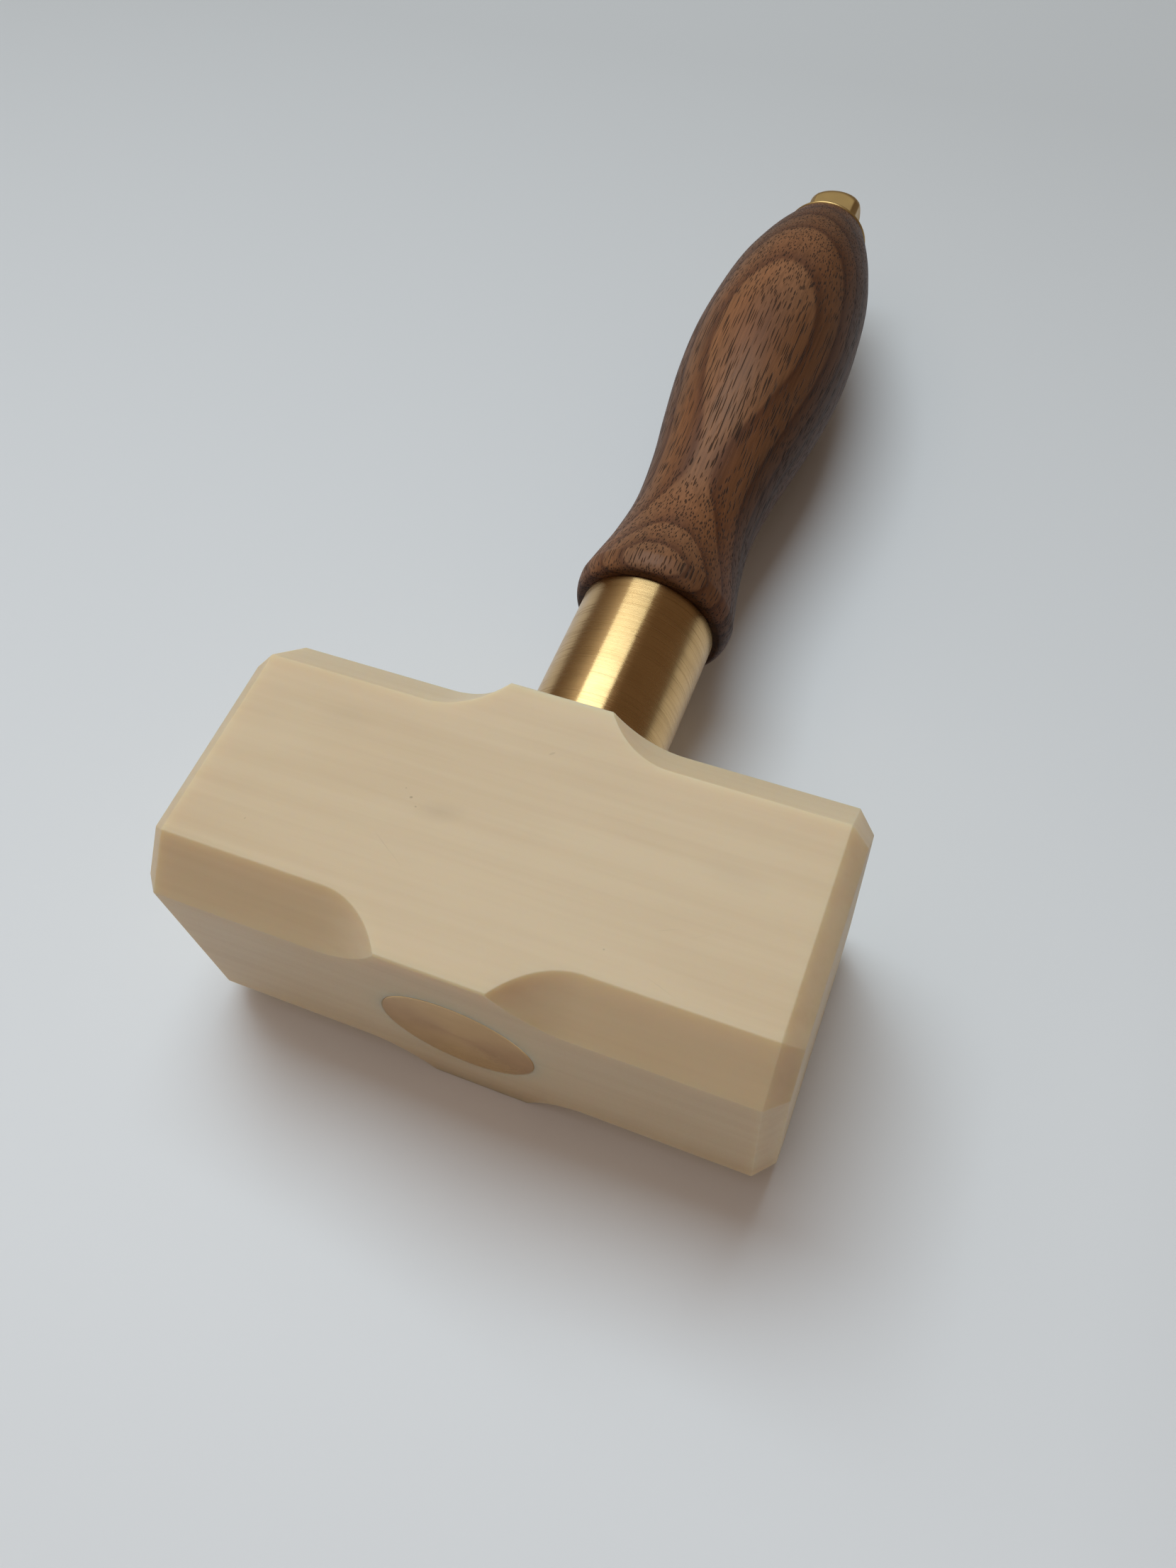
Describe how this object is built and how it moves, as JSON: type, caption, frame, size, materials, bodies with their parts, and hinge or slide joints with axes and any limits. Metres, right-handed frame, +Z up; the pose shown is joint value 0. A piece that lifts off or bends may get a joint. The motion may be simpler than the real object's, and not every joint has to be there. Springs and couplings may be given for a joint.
{
  "type": "mallet",
  "caption": "Double-faced soft mallet with a chamfered nylon head, a brass shank and collar, a turned walnut grip and a brass cap nut.",
  "frame": {"origin": "on the plane of the lower cheek, under the middle of the mallet's length", "axes": "+Y along the handle from the head to the cap nut; X along the striking axis; +Z up from the lower cheek to the upper cheek"},
  "size_m": [0.1, 0.2108, 0.049],
  "materials": {
    "nylon": "satin, sawn and scraped",
    "turned_brass": "fine turned satin",
    "walnut": "oiled satin",
    "stud_steel": "plain",
    "polished_brass": "polished"
  },
  "bodies": {
    "root": {"mallet_head": "nylon", "brass_shank": "turned_brass", "walnut_handle": "walnut", "tie_stud": "stud_steel", "cap_nut": "polished_brass"}
  },
  "joints": []
}
